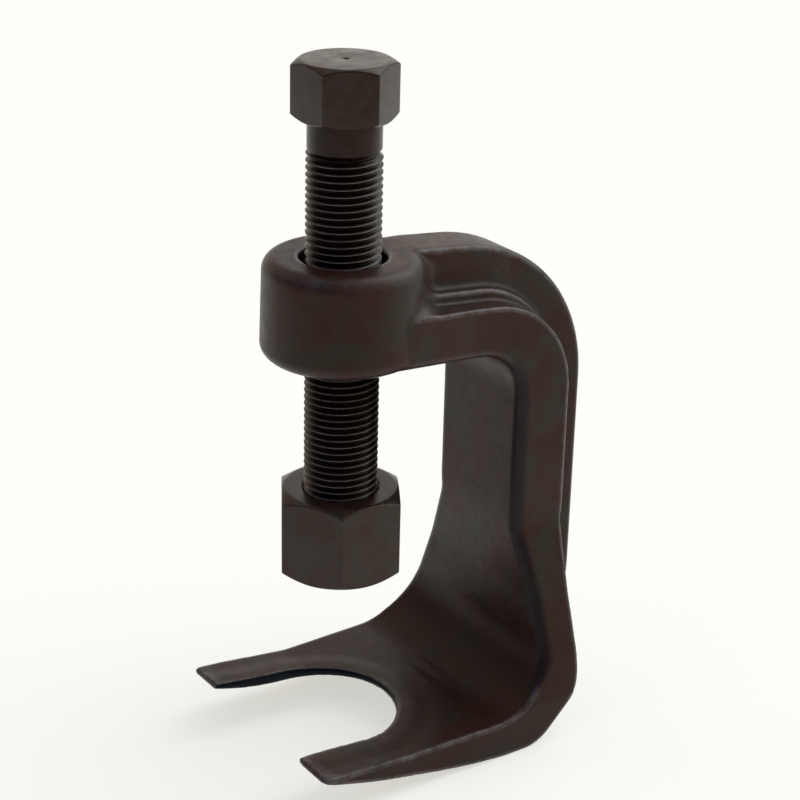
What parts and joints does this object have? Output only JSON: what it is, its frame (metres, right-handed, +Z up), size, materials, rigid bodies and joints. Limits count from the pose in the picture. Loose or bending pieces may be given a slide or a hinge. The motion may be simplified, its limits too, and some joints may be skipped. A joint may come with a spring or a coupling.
{
  "type": "ball joint separator",
  "caption": "C-frame separator that presses a ball joint's tapered stud out of its eye: forked foot, ribbed back, round eye, hex-head forcing screw and tall hexagon thrust nut.",
  "frame": {"origin": "where the forcing screw's axis meets the plane of the frame's lowest point, with the frame standing on its heel", "axes": "+Z up along the screw's axis to the screw's head, +X from the fork's prongs to the frame's back, +Y across the fork"},
  "size_m": [0.0816, 0.0556, 0.1542],
  "materials": {
    "forged_frame": "drop-forged steel, tumbled and oiled black oxide with a warm brown cast",
    "screw_steel": "turned steel, oiled black oxide, thread crests rubbed bright",
    "nut_steel": "machined steel, oiled black oxide, glossy faces"
  },
  "bodies": {
    "frame": {"c_frame": "forged_frame"},
    "nut": {"thrust_nut": "nut_steel"},
    "screw": {"forcing_screw": "screw_steel"}
  },
  "joints": [
    {"name": "screw_feed", "type": "slide", "parent": "frame", "child": "screw", "axis": [0, 0, -1], "range_m": [0, 0.0282]},
    {"name": "nut_turn", "type": "hinge", "parent": "frame", "child": "nut", "pos_m": [0, 0, 0.0532], "axis": [0, 0, 1], "range_deg": [0, 6768.1]}
  ],
  "couplings": [
    {"joint": "nut_turn", "follows": "screw_feed", "rad_per_m": 4188.8}
  ]
}
